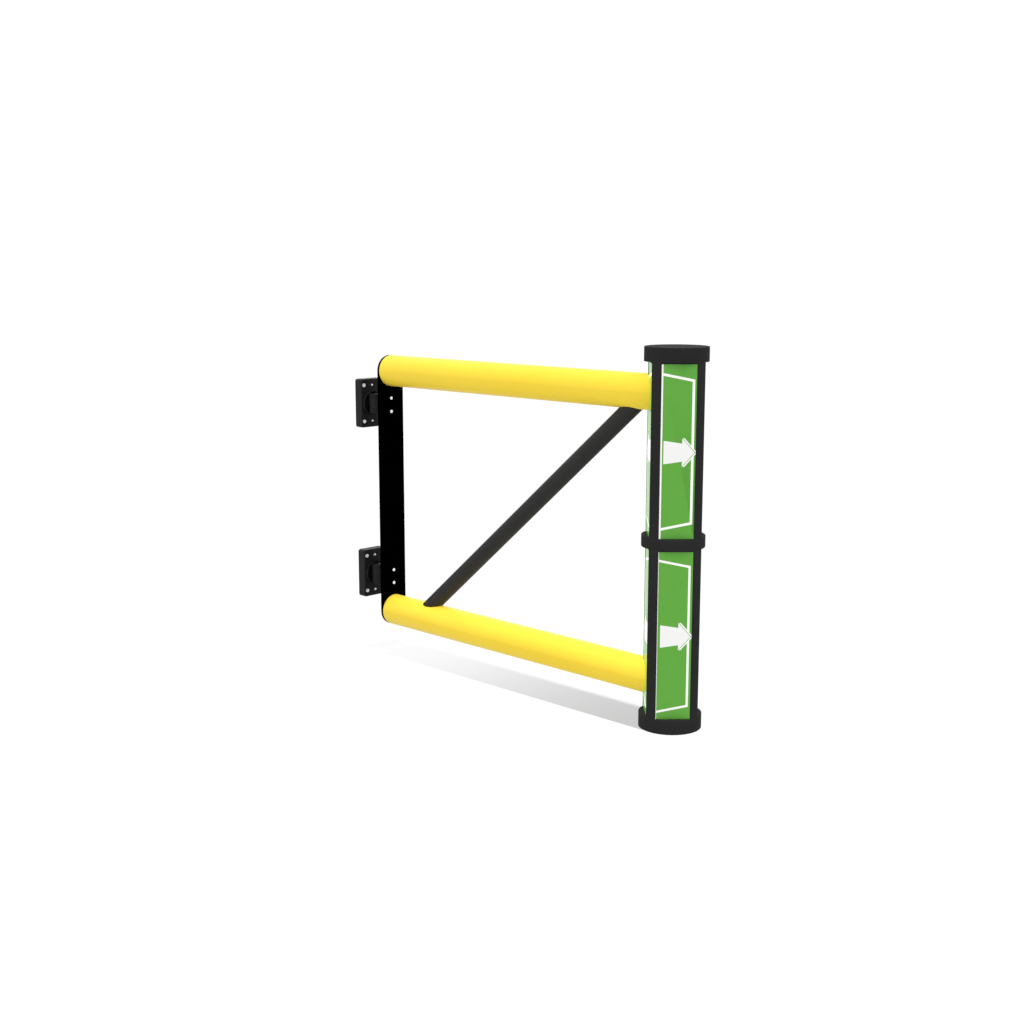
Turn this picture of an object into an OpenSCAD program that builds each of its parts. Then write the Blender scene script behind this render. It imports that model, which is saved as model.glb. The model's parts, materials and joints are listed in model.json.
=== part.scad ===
// Safety barrier swing gate. Two brackets are bolted to a post or wall. Each carries a hinge
// barrel, and a stile hung on the two barrels holds a pair of round rails, a diagonal brace and
// a closing column with sign panels on four sides at two levels.
// Origin: middle of the lower bracket's back face. +X runs along the closed gate, +Z is up.

/* [Gate] */
// From the back face of the brackets to the axis of the column
gate_reach = 1436; // [900:1:2400]
// From each rail's axis to the hinge next to it
hinge_inset = 123; // [100:1:180]
// Room between the mounting face and the stile when the gate stands open
wall_room = 5; // [5:1:40]

/* [Rails and brace] */
// Outer diameter of the two rails
rail_d = 110; // [80:1:125]
// Wall of the rails
rail_wall = 6; // [3:0.5:12]
// How far a rail runs on past the column's axis
rail_overrun = 20; // [0:1:30]
// Gap all round where a tube passes through or meets another piece
tube_gap = 0.3; // [0.1:0.1:1]
// Outer diameter of the brace
brace_d = 55; // [30:1:70]
// Wall of the brace
brace_wall = 4; // [2:0.5:8]
// From the stile to the point where the brace's axis crosses the lower rail's
brace_foot = 150; // [100:1:300]
// From the column's axis to the point where the brace's axis crosses the upper rail's
brace_head = 107; // [95:1:200]

/* [Stile] */
// Width of the stile
stile_w = 110; // [90:1:130]
// Thickness of the stile
stile_t = 10; // [6:1:20]
// Length of the plugs that the rails slide over
plug_l = 30; // [10:1:60]
// Wall of the plugs
plug_wall = 6; // [3:0.5:12]
// Thickness of the plugs' floor, which is fixed to the stile
plug_floor = 8; // [4:1:16]

/* [Brackets] */
// Thickness of a bracket from its back face to its front face
bracket_t = 35; // [28:1:40]
// Radius of a bracket's four corners
bracket_corner = 9; // [2:1:20]
// Rounding of a bracket's front edges
bracket_edge = 5; // [1:0.5:10]
// Width left on each side of the collar
bracket_side = 6.5; // [3:0.5:20]
// Height left above and below the rows of fixing holes
bracket_end = 22.5; // [14:0.5:40]
// From the collar to the rows of fixing holes
bolt_row_gap = 20.5; // [13:0.5:40]
// From a bracket's side to the centre of its bolt holes
bolt_edge = 14.5; // [13:0.5:30]
// Diameter of the four bolt holes
bolt_hole_d = 11; // [8:0.5:16]
// Diameter of the seats round the bolt holes
bolt_seat_d = 22; // [18:1:26]
// Diameter of the two screw holes
screw_hole_d = 6.5; // [4:0.5:9]
// Diameter of the seats round the screw holes
screw_seat_d = 15; // [10:1:20]
// Depth of the seats round all the holes
seat_depth = 3; // [1:0.5:8]

/* [Hinge] */
// Diameter of the hinge barrel
barrel_d = 58; // [44:1:62]
// Height of the hinge barrel
barrel_h = 72; // [60:1:100]
// Height of each fixed lug of the barrel
lug_h = 15; // [8:1:24]
// Rounding of the lugs' outer edges
lug_edge = 3; // [0.5:0.5:6]
// Gap above and below the turning knuckle
knuckle_gap = 0.5; // [0.3:0.1:2]
// Diameter of the hinge pin
pin_d = 16; // [10:1:24]
// Chamfer at both ends of the pin
pin_chamfer = 1; // [0.5:0.5:2]
// Radial gap of the pin in the fixed lugs
pin_seat_gap = 0.02; // [0.01:0.01:0.05]
// Radial gap of the pin in the turning knuckle
pin_run_gap = 0.05; // [0.02:0.01:0.1]
// Width of the web that roots each lug in the dish
web_w = 28; // [12:1:40]
// Room between the barrel and the floor of the dish
dish_room = 5; // [3:0.5:10]
// From the corners of the turning knuckle to the wall of the dish
dish_margin = 6.5; // [6:0.5:12]
// Wall of the round collar that stands up round the dish
collar_w = 3; // [2:0.5:6]
// Height of the collar above the front face of the bracket
collar_h = 7.5; // [2:0.5:10]
// Rounding of the collar's outer rim
collar_edge = 1; // [0.5:0.5:1.5]
// Room between the collar and the arm when the gate stands open
arm_room = 5.5; // [5:0.5:8]
// Room between the fixed lugs and the place where the arm starts to flare
flare_room = 5; // [5:0.5:10]
// Height left on the flange above and below the flared arm
flare_step = 3; // [2:0.5:6]
// Thickness of the flange behind the stile
flange_t = 12; // [6:1:20]
// Width of the flange
flange_w = 80; // [50:1:100]
// Height of the flange
flange_h = 88; // [74:1:120]
// Radius of the flange's corners
flange_corner = 8; // [2:1:20]
// Room between the flange and the bracket when the gate stands open
swing_room = 6.5; // [5:0.5:20]
// Distance between the two bolts through flange and stile
flange_bolt_pitch = 48; // [30:1:56]
// Diameter of those two bolt holes in the stile
flange_bolt_d = 11; // [8:0.5:14]
// Diameter of the threaded bores for them in the yoke
yoke_bore_d = 8.5; // [6:0.5:12]
// Depth of the threaded bores behind the stile
yoke_bore_l = 22; // [14:1:24]

/* [Column] */
// Diameter of the column's discs and of its rounded corners
column_d = 192; // [170:1:240]
// Width of the column across its flat sides
column_flats = 156; // [140:1:170]
// Wall of the column
column_wall = 10; // [7:0.5:14]
// Height of the base disc
base_h = 44; // [20:1:90]
// Height of each of the two bays that hold the sign panels
bay_h = 517; // [360:1:700]
// Height of the ring between the bays
ring_h = 35; // [15:1:80]
// Height of the cap disc
cap_h = 43.5; // [20:0.5:90]
// Rounding of the cap's top edge
cap_edge = 2; // [1:0.5:15]
// Thickness of the top of the cap and of the floor of the base
end_t = 8; // [4:1:16]
// From the inner end of a bay to the axis of its rail
rail_inset = 96.5; // [75:0.5:160]

/* [Sign panels] */
// Width of a sign panel
panel_w = 102.8; // [80:0.1:105]
// Thickness of a sign panel
panel_t = 3; // [1:0.5:5]
// Depth of a panel's face below the column's flat side
panel_recess = 1; // [0.5:0.1:3]
// Gap round a panel in its pocket
panel_gap = 0.2; // [0.1:0.1:1]
// Height of the column's land above a panel
panel_land = 4; // [2:0.5:20]

/* [Hidden] */
$fn = 96;

// Dish, collar, bracket outline and fixing holes, all worked out from the turning knuckle
knuckle_h = barrel_h - 2 * (lug_h + knuckle_gap);
dish_r = norm([barrel_d / 2, knuckle_h / 2]) + dish_margin;
collar_r = dish_r + collar_w;
bracket_w = 2 * (collar_r + bracket_side);
bolt_row = collar_r + bolt_row_gap;
bracket_h = 2 * (bolt_row + bracket_end);
bolt_column = bracket_w / 2 - bolt_edge;

// Places along the gate
axis_x = max(stile_w, rail_d) / 2 + wall_room;
dish_floor_x = axis_x - barrel_d / 2 - dish_room;
collar_x = bracket_t + collar_h;
arm_w = 2 * (axis_x - collar_x - arm_room);
flange_x = axis_x + bracket_w / 2 + swing_room;
stile_x = flange_x + flange_t;
rail_x = stile_x + stile_t;

// Heights. The lower hinge is at zero.
lower_hinge_z = 0;
lower_rail_z = lower_hinge_z - hinge_inset;
lower_bay_z = lower_rail_z - rail_inset;
base_z = lower_bay_z - base_h;
ring_z = lower_bay_z + bay_h;
upper_bay_z = ring_z + ring_h;
cap_z = upper_bay_z + bay_h;
upper_rail_z = cap_z - rail_inset;
upper_hinge_z = upper_rail_z - hinge_inset;

panel_h = bay_h - panel_land - panel_gap;
pocket_depth = panel_t + panel_recess;
cut = 1; // how far a cutting solid runs on past the face that it opens

// Direction that each panel faces, as a turn about the column's axis
front_outer = -45;
front_inner = -135;
back_outer = 45;
back_inner = 135;

// ---- Shared shapes ----

// Rectangle with round corners, centred
module rounded_rectangle(w, h, r) {
    square([w - 2 * r, h], center = true);
    square([w, h - 2 * r], center = true);
    for (x = [-1, 1], y = [-1, 1])
        translate([x * (w / 2 - r), y * (h / 2 - r)]) circle(r);
}

// Takes an outline drawn as (Y, Z) and extrudes it along +X from x
module along_x(x, length) {
    translate([x, 0, 0]) rotate([90, 0, 90]) linear_extrude(length) children();
}

// Round bar along +X, centred on height z
module bar_along_x(d, x, length, z) {
    translate([x, 0, z]) rotate([0, 90, 0]) cylinder(d = d, h = length);
}

// Outline that is square at x = 0 and has its two far corners rounded
module rounded_front(depth, w, r) {
    translate([0, -w / 2]) square([depth - r, w]);
    translate([0, -w / 2 + r]) square([depth, w - 2 * r]);
    for (side = [-1, 1])
        translate([depth - r, side * (w / 2 - r)]) circle(r);
}

// ---- Hinge brackets ----

// Block with round corners and round front edges
module bracket_block() {
    intersection() {
        along_x(0, bracket_t) rounded_rectangle(bracket_w, bracket_h, bracket_corner);
        translate([0, 0, -bracket_h / 2]) linear_extrude(bracket_h)
            rounded_front(bracket_t, bracket_w, bracket_edge);
        rotate([90, 0, 0]) translate([0, 0, -bracket_w / 2]) linear_extrude(bracket_w)
            rounded_front(bracket_t, bracket_h, bracket_edge);
    }
}

// Round collar with a rounded outer rim, turned about the X axis
module collar() {
    root_x = bracket_t - cut;
    rotate([0, 90, 0]) rotate_extrude() {
        translate([dish_r, root_x]) square([collar_w, collar_x - collar_edge - root_x]);
        translate([dish_r, root_x]) square([collar_w - collar_edge, collar_x - root_x]);
        translate([collar_r - collar_edge, collar_x - collar_edge]) circle(collar_edge);
    }
}

// Round dish inside the collar that lets the barrel sink into the bracket
module dish() {
    bar_along_x(2 * dish_r, dish_floor_x, collar_x + cut - dish_floor_x, 0);
}

// Half outline of a lug or its web, from the middle to the side, with the top edge rounded
module lug_profile(w) {
    square([w / 2, lug_h - lug_edge]);
    square([w / 2 - lug_edge, lug_h]);
    translate([w / 2 - lug_edge, lug_h - lug_edge]) circle(lug_edge);
}

// Upper fixed lug of the barrel with the web that roots it in the bracket
module lug() {
    root_x = dish_floor_x - cut;
    translate([0, 0, barrel_h / 2 - lug_h]) {
        translate([axis_x, 0, 0]) rotate_extrude() lug_profile(barrel_d);
        along_x(root_x, axis_x - root_x) {
            lug_profile(web_w);
            mirror([1, 0]) lug_profile(web_w);
        }
    }
}

// Through hole with a seat for the head
module fixing_hole(y, z, hole_d, seat_d) {
    translate([0, y, 0]) bar_along_x(hole_d, -cut, bracket_t + 2 * cut, z);
    translate([0, y, 0]) bar_along_x(seat_d, bracket_t - seat_depth, seat_depth + cut, z);
}

module bracket() {
    difference() {
        union() {
            difference() {
                union() {
                    bracket_block();
                    collar();
                }
                dish();
            }
            lug();
            mirror([0, 0, 1]) lug();
        }
        translate([axis_x, 0, -barrel_h / 2 - cut])
            cylinder(d = pin_d + 2 * pin_seat_gap, h = barrel_h + 2 * cut);
        for (row = [-1, 1]) {
            fixing_hole(0, row * bolt_row, screw_hole_d, screw_seat_d);
            for (side = [-1, 1])
                fixing_hole(side * bolt_column, row * bolt_row, bolt_hole_d, bolt_seat_d);
        }
    }
}

module hinge_pin() {
    end_r = pin_d / 2 - pin_chamfer;
    end_z = barrel_h / 2;
    translate([axis_x, 0, 0]) rotate_extrude() polygon([
        [0, -end_z], [end_r, -end_z], [pin_d / 2, pin_chamfer - end_z],
        [pin_d / 2, end_z - pin_chamfer], [end_r, end_z], [0, end_z]
    ]);
}

// ---- Swinging gate ----

// Arm from the knuckle to the flange. It flares above and below once it is clear of the lugs.
module arm() {
    flare_x = axis_x + barrel_d / 2 + flare_room;
    thin = knuckle_h / 2;
    thick = flange_h / 2 - flare_step;
    rotate([90, 0, 0]) translate([0, 0, -arm_w / 2]) linear_extrude(arm_w) polygon([
        [axis_x, -thin], [flare_x, -thin], [flange_x, -thick], [stile_x, -thick],
        [stile_x, thick], [flange_x, thick], [flare_x, thin], [axis_x, thin]
    ]);
}

// Knuckle on the pin, arm, and the flange that the stile is bolted to
module yoke() {
    difference() {
        union() {
            translate([axis_x, 0, -knuckle_h / 2]) cylinder(d = barrel_d, h = knuckle_h);
            arm();
            along_x(flange_x, flange_t) rounded_rectangle(flange_w, flange_h, flange_corner);
        }
        translate([axis_x, 0, -knuckle_h / 2 - cut])
            cylinder(d = pin_d + 2 * pin_run_gap, h = knuckle_h + 2 * cut);
        for (row = [-1, 1])
            bar_along_x(yoke_bore_d, stile_x - yoke_bore_l, yoke_bore_l + cut,
                row * flange_bolt_pitch / 2);
    }
}

// Upright plate with round ends that are centred on the rails
module stile_outline() {
    translate([-stile_w / 2, lower_rail_z]) square([stile_w, upper_rail_z - lower_rail_z]);
    for (z = [lower_rail_z, upper_rail_z]) translate([0, z]) circle(d = stile_w);
}

module stile() {
    color("black") difference() {
        along_x(stile_x, stile_t) stile_outline();
        for (hinge_z = [lower_hinge_z, upper_hinge_z], row = [-1, 1])
            bar_along_x(flange_bolt_d, stile_x - cut, stile_t + 2 * cut,
                hinge_z + row * flange_bolt_pitch / 2);
    }
}

// Cup on the stile that a rail slides over
module plug(z) {
    plug_d = rail_d - 2 * rail_wall - 2 * tube_gap;
    color("dimgray") difference() {
        bar_along_x(plug_d, rail_x, plug_l, z);
        bar_along_x(plug_d - 2 * plug_wall, rail_x + plug_floor, plug_l, z);
    }
}

module rail(z) {
    length = gate_reach + rail_overrun - rail_x;
    color("gold") difference() {
        bar_along_x(rail_d, rail_x, length, z);
        bar_along_x(rail_d - 2 * rail_wall, rail_x - cut, length + 2 * cut, z);
    }
}

// Slanting tube between the rails, cut to a saddle at both ends
module brace() {
    run = gate_reach - brace_head - rail_x - brace_foot;
    rise = upper_rail_z - lower_rail_z;
    length = norm([run, rise]);
    color("dimgray") difference() {
        translate([rail_x + brace_foot, 0, lower_rail_z]) rotate([0, atan2(run, rise), 0])
            difference() {
                cylinder(d = brace_d, h = length);
                translate([0, 0, -cut]) cylinder(d = brace_d - 2 * brace_wall, h = length + 2 * cut);
            }
        for (z = [lower_rail_z, upper_rail_z])
            bar_along_x(rail_d + 2 * tube_gap, rail_x - rail_d, gate_reach, z);
    }
}

// ---- Column ----

// Round outline with four flat sides that face halfway between X and Y
module post_outline(d, flats) {
    intersection() {
        circle(d = d);
        rotate(45) square(flats, center = true);
    }
}

module column_hollow(z, h) {
    translate([0, 0, z]) linear_extrude(h)
        post_outline(column_d - 2 * column_wall, column_flats - 2 * column_wall);
}

// Round opening for a rail in the side of the column that faces the hinges
module rail_socket(z) {
    translate([-column_d, 0, 0]) bar_along_x(rail_d + 2 * tube_gap, 0, column_d, z);
}

// Pocket for one sign panel, open at the foot of the bay
module panel_pocket(turn) {
    pocket_w = panel_w + 2 * panel_gap;
    rotate(turn) translate([column_flats / 2 - pocket_depth, -pocket_w / 2, -cut])
        cube([pocket_depth + cut, pocket_w, panel_h + panel_gap + cut]);
}

module post(bay_z, rail_z) {
    color([0.17, 0.17, 0.17]) translate([gate_reach, 0, bay_z]) difference() {
        linear_extrude(bay_h) post_outline(column_d, column_flats);
        column_hollow(-cut, bay_h + 2 * cut);
        for (turn = [front_outer, front_inner, back_outer, back_inner]) panel_pocket(turn);
        rail_socket(rail_z - bay_z);
    }
}

module column_base() {
    color([0.17, 0.17, 0.17]) translate([gate_reach, 0, base_z]) difference() {
        cylinder(d = column_d, h = base_h);
        column_hollow(end_t, base_h);
    }
}

module middle_ring() {
    color([0.17, 0.17, 0.17]) translate([gate_reach, 0, ring_z]) difference() {
        cylinder(d = column_d, h = ring_h);
        column_hollow(-cut, ring_h + 2 * cut);
    }
}

module column_cap() {
    color([0.17, 0.17, 0.17]) translate([gate_reach, 0, cap_z]) difference() {
        rotate_extrude() {
            square([column_d / 2, cap_h - cap_edge]);
            square([column_d / 2 - cap_edge, cap_h]);
            translate([column_d / 2 - cap_edge, cap_h - cap_edge]) circle(cap_edge);
        }
        column_hollow(-cut, cap_h - end_t + cut);
    }
}

// Plate in its pocket. The two that face the hinges are cut round the rail.
module sign_panel(turn, bay_z, rail_z) {
    color("limegreen") translate([gate_reach, 0, bay_z]) difference() {
        rotate(turn) translate([column_flats / 2 - pocket_depth, -panel_w / 2, 0])
            cube([panel_t, panel_w, panel_h]);
        rail_socket(rail_z - bay_z);
    }
}

// ---- Named pieces ----

module lower_bracket() { color([0.2, 0.2, 0.2]) translate([0, 0, lower_hinge_z]) bracket(); }
module upper_bracket() { color([0.2, 0.2, 0.2]) translate([0, 0, upper_hinge_z]) bracket(); }
module lower_pin() { color("silver") translate([0, 0, lower_hinge_z]) hinge_pin(); }
module upper_pin() { color("silver") translate([0, 0, upper_hinge_z]) hinge_pin(); }
module lower_yoke() { color([0.2, 0.2, 0.2]) translate([0, 0, lower_hinge_z]) yoke(); }
module upper_yoke() { color([0.2, 0.2, 0.2]) translate([0, 0, upper_hinge_z]) yoke(); }
module lower_plug() { plug(lower_rail_z); }
module upper_plug() { plug(upper_rail_z); }
module lower_rail() { rail(lower_rail_z); }
module upper_rail() { rail(upper_rail_z); }
module lower_post() { post(lower_bay_z, lower_rail_z); }
module upper_post() { post(upper_bay_z, upper_rail_z); }
module lower_sign(turn) { sign_panel(turn, lower_bay_z, lower_rail_z); }
module upper_sign(turn) { sign_panel(turn, upper_bay_z, upper_rail_z); }

lower_bracket();
upper_bracket();
lower_pin();
upper_pin();
lower_yoke();
upper_yoke();
stile();
lower_plug();
upper_plug();
lower_rail();
upper_rail();
brace();
column_base();
lower_post();
middle_ring();
upper_post();
column_cap();
lower_sign(front_outer);  // lower_sign_front_outer
lower_sign(front_inner);  // lower_sign_front_inner
lower_sign(back_outer);  // lower_sign_back_outer
lower_sign(back_inner);  // lower_sign_back_inner
upper_sign(front_outer);  // upper_sign_front_outer
upper_sign(front_inner);  // upper_sign_front_inner
upper_sign(back_outer);  // upper_sign_back_outer
upper_sign(back_inner);  // upper_sign_back_inner
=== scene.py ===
# %% [markdown]
# # Safety barrier swing gate
#
# A swing gate for people on foot, as it is let into the guard rail of a factory floor. Two hinge
# brackets hold a flat steel stile, two round polymer rails and a slanting brace run out from it,
# and a black column with green signs on four sides closes the gap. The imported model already
# holds every piece at its real size. This script gives those pieces their finish, softens their
# edges, adds the bolts and the printed signs, and sets up floor, light and camera.

import json
import math

import bmesh
import bpy
from mathutils import Matrix, Vector

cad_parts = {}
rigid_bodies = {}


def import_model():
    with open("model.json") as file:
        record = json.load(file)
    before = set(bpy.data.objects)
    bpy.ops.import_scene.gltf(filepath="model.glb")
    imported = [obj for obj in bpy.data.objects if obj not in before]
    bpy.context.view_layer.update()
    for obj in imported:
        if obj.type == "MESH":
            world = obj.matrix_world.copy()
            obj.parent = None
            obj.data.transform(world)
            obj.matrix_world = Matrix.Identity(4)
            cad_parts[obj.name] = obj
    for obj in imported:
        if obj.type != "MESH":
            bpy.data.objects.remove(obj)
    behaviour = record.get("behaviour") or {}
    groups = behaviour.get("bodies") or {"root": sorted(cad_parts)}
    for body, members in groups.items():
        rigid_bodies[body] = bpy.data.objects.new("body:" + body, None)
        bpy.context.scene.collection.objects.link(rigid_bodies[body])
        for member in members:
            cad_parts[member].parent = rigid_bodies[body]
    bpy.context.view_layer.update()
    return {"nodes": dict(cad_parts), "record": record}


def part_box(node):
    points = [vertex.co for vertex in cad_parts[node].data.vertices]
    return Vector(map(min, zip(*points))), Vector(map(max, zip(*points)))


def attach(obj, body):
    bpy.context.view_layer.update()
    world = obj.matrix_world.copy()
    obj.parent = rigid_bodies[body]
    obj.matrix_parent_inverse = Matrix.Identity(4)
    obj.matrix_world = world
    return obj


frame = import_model()
MM = 0.001
print("pieces in the packed gate:", len(frame["nodes"]))

# %% [markdown]
# ## Read the main places off the gate
#
# Bolts, signs and lights all need to know where the gate's pieces are. Typing those numbers in a
# second time would let them drift apart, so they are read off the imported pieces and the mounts
# that the record lists. The disc round the column's middle gives its axis, and each mount on the
# back of a bracket gives the height of a hinge.

# %% Find the column's axis, its foot and the hinges
ring_low, ring_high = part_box("middle_ring")
column_x = (ring_low.x + ring_high.x) / 2
foot_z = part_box("column_base")[0].z
mounts = {mount["name"]: mount for mount in frame["record"]["mounts"]}
LEVELS = ("lower", "upper")
hinge_height = {level: mounts[level + "_bracket_back"]["pos_m"][2] for level in LEVELS}
print("column axis at x =", round(column_x, 4), "and its foot at z =", round(foot_z, 4))
print("hinge heights:", hinge_height)

# %% [markdown]
# ## Camera
#
# The gate is seen from its front right, a little from above, so that the signs on the column face
# the viewer squarely and the rails run away to the left. A camera can be aimed with a constraint,
# but a fixed turn and tilt keep the column's upright edges where they are when the gate's length
# changes, and so does setting the camera out from the foot of the column. The shift, of about a
# two-thousandth of the picture's width, is the last fine setting of where the view is centred.

# %% Set up the camera
CAMERA_FROM_FOOT = Vector((2.6173, -3.2981, 1.3995))
CAMERA_TILT = math.radians(80)
CAMERA_TURN = math.radians(45)
FINE_SHIFT = 0.5 / 1024


def linked(name, data):
    """A new object in the scene for a mesh, a light or a camera."""
    item = bpy.data.objects.new(name, data)
    bpy.context.scene.collection.objects.link(item)
    return item


camera_data = bpy.data.cameras.new("camera")
camera_data.lens = 50
camera_data.sensor_width = 36
camera_data.shift_x = -FINE_SHIFT
camera_data.shift_y = FINE_SHIFT
camera = linked("camera", camera_data)
camera.location = Vector((column_x, 0, foot_z)) + CAMERA_FROM_FOOT
camera.rotation_euler = (CAMERA_TILT, 0, CAMERA_TURN)
bpy.context.scene.camera = camera
print("camera at", [round(value, 3) for value in camera.location])

# %% [markdown]
# ## Patterns for the finishes
#
# No real surface is one flat colour: plastic has grain, paint levels out in waves, drawn tube has
# lines. A picture of such a surface could be wrapped round a piece, but it would need unwrapping
# and would blur up close. Noise worked out from Object coordinates needs neither and keeps its
# size in metres on every piece. Stretching the noise along one axis turns grain into lines.

# %% Start a finish and lay out a pattern
def new_finish(name):
    """A material with its node tree and its Principled shader."""
    material = bpy.data.materials.new(name)
    material.use_nodes = True
    tree = material.node_tree
    return material, tree, tree.nodes["Principled BSDF"]


def pattern(tree, scale, stretch=(1, 1, 1), turn=(0, 0, 0), detail=3, roughness=0.5):
    """Noise laid out in metres. A stretch under 1 draws the pattern out along that axis."""
    place = tree.nodes.new("ShaderNodeTexCoord")
    mapping = tree.nodes.new("ShaderNodeMapping")
    mapping.vector_type = "TEXTURE"
    mapping.inputs["Rotation"].default_value = turn
    mapping.inputs["Scale"].default_value = [1 / value for value in stretch]
    noise = tree.nodes.new("ShaderNodeTexNoise")
    noise.inputs["Scale"].default_value = scale
    noise.inputs["Detail"].default_value = detail
    noise.inputs["Roughness"].default_value = roughness
    tree.links.new(place.outputs["Object"], mapping.inputs["Vector"])
    tree.links.new(mapping.outputs["Vector"], noise.inputs["Vector"])
    return noise.outputs["Fac"]


print("patterns are laid out in metres")

# %% [markdown]
# ## Values and colours out of a pattern
#
# Noise gives grey values that crowd round a half, which is of little use as it is. A Map Range
# node picks the stretch of it that matters and spreads that over a gloss or an amount of wear.
# Two patterns can be multiplied or added, and a Mix node turns an amount into a colour between
# two others. Written as small helpers, these steps let each finish read as a short recipe.

# %% Turn patterns into amounts and colours
def spread(tree, value, low, high, to_low=0.0, to_high=1.0, smooth=False):
    """Stretches the part of a pattern between low and high to a new range."""
    node = tree.nodes.new("ShaderNodeMapRange")
    if smooth:
        node.interpolation_type = "SMOOTHSTEP"
    node.inputs["From Min"].default_value = low
    node.inputs["From Max"].default_value = high
    node.inputs["To Min"].default_value = to_low
    node.inputs["To Max"].default_value = to_high
    tree.links.new(value, node.inputs["Value"])
    return node.outputs["Result"]


def combine(tree, operation, first, second):
    """Math on two patterns, or on a pattern and a number."""
    node = tree.nodes.new("ShaderNodeMath")
    node.operation = operation
    for socket, value in zip(node.inputs, (first, second)):
        if isinstance(value, (int, float)):
            socket.default_value = value
        else:
            tree.links.new(value, socket)
    return node.outputs["Value"]


def blend_colours(tree, amount, first, second):
    """From the first colour to the second as amount goes from 0 to 1."""
    node = tree.nodes.new("ShaderNodeMix")
    node.data_type = "RGBA"
    sockets = {socket.identifier: socket for socket in node.inputs}
    tree.links.new(amount, sockets["Factor_Float"])
    for name, colour in (("A_Color", first), ("B_Color", second)):
        if isinstance(colour, tuple):
            sockets[name].default_value = (*colour, 1)
        else:
            tree.links.new(colour, sockets[name])
    return [socket for socket in node.outputs if socket.identifier == "Result_Color"][0]


def clouded(tree, cloud, first, second):
    """Two close colours that drift into each other over a piece."""
    return blend_colours(tree, spread(tree, cloud, 0.35, 0.65), first, second)


print("patterns can be spread, combined and coloured")

# %% [markdown]
# ## Dents and worn edges
#
# Grain too fine to model is left to a bump: it tilts the shading and leaves the shape alone, and
# several bumps can be stacked from coarse to fine. Wear sits on edges, because that is where
# hands and trolleys rub. A Bevel node knows where an edge is, as the normal that it rounds off
# there parts from the true one, and a scuffed noise breaks that even line up.

# %% Dent a surface and find its edges
FLAT = 0.98
ROUNDED = 0.80


def dent(tree, shader, *layers):
    """Stacks bump layers of (height pattern, strength, depth in metres) under a shader."""
    below = None
    for height, strength, depth in layers:
        node = tree.nodes.new("ShaderNodeBump")
        node.inputs["Strength"].default_value = strength
        node.inputs["Distance"].default_value = depth
        tree.links.new(height, node.inputs["Height"])
        if below is not None:
            tree.links.new(below, node.inputs["Normal"])
        below = node.outputs["Normal"]
    tree.links.new(below, shader.inputs["Normal"])


def edge_mask(tree, width):
    """1 along edges and 0 on flat faces, fading over that width."""
    rounded = tree.nodes.new("ShaderNodeBevel")
    rounded.samples = 4
    rounded.inputs["Radius"].default_value = width
    surface = tree.nodes.new("ShaderNodeNewGeometry")
    agree = tree.nodes.new("ShaderNodeVectorMath")
    agree.operation = "DOT_PRODUCT"
    tree.links.new(rounded.outputs["Normal"], agree.inputs[0])
    tree.links.new(surface.outputs["Normal"], agree.inputs[1])
    return spread(tree, agree.outputs["Value"], FLAT, ROUNDED)


def edge_wear(tree, width, scuff, low, high):
    """Patches of rub along the edges, where a scuff pattern lies between low and high or above."""
    return combine(tree, "MULTIPLY", edge_mask(tree, width), spread(tree, scuff, low, high))


print("edges are masked where normals agree less than", FLAT)

# %% [markdown]
# ## Black moulded plastic
#
# The column, the brackets and the yokes are black engineering plastic. It leaves the mould with a
# fine grain, and hands and trolleys polish its edges a little paler. A noise of a millimetre or
# so gives the grain, a much larger and fainter one keeps the big faces from looking printed, and
# the wear along the edges adds the rub. One function serves all three, because only the tone, the
# coarseness and the gloss differ.

# %% Make the black plastics
def grey(level):
    """A neutral colour of that brightness."""
    return (level, level, level)


def moulded_plastic(name, tone, rubbed, grain_scale, roughness, gloss):
    material, tree, shader = new_finish(name)
    grain = pattern(tree, grain_scale, detail=2)
    cloud = pattern(tree, 9)
    scuff = pattern(tree, 60, stretch=(1, 1, 0.35), detail=4, roughness=0.65)
    body = clouded(tree, cloud, grey(tone), grey(1.12 * tone))
    rub = edge_wear(tree, 1.6 * MM, scuff, 0.42, 0.62)
    tree.links.new(blend_colours(tree, rub, body, grey(rubbed)), shader.inputs["Base Color"])
    uneven = combine(tree, "ADD", grain, cloud)
    dull = spread(tree, uneven, 0.7, 1.3, roughness - 0.05, roughness + 0.06)
    tree.links.new(dull, shader.inputs["Roughness"])
    shader.inputs["Specular IOR Level"].default_value = gloss
    dent(tree, shader, (grain, 0.25, 0.12 * MM), (scuff, 0.08, 0.1 * MM))
    return material


column_plastic = moulded_plastic("column_plastic", 0.0213, 0.036, 700, 0.7, 0.02)
bracket_plastic = moulded_plastic("bracket_plastic", 0.011, 0.022, 900, 0.38, 0.10)
yoke_plastic = moulded_plastic("yoke_plastic", 0.0125, 0.024, 900, 0.42, 0.10)
print("plastics:", column_plastic.name, bracket_plastic.name, yoke_plastic.name)

# %% [markdown]
# ## Yellow rails
#
# The rails are extruded polymer tube, coloured right through. Drawing the tube through its die
# leaves faint lines along its length. They could be drawn with a wave texture, but waves come out
# too even, so a noise is drawn out forty times along X instead. The colour hardly varies, the
# gloss varies a little more, and a few soft scuffs sit where people lean.

# %% Make the yellow of the rails
CLEAN_YELLOW = (0.90, 0.66, 0.057)
DEEP_YELLOW = (0.885, 0.645, 0.053)
SCUFFED_YELLOW = (0.78, 0.58, 0.06)


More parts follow.
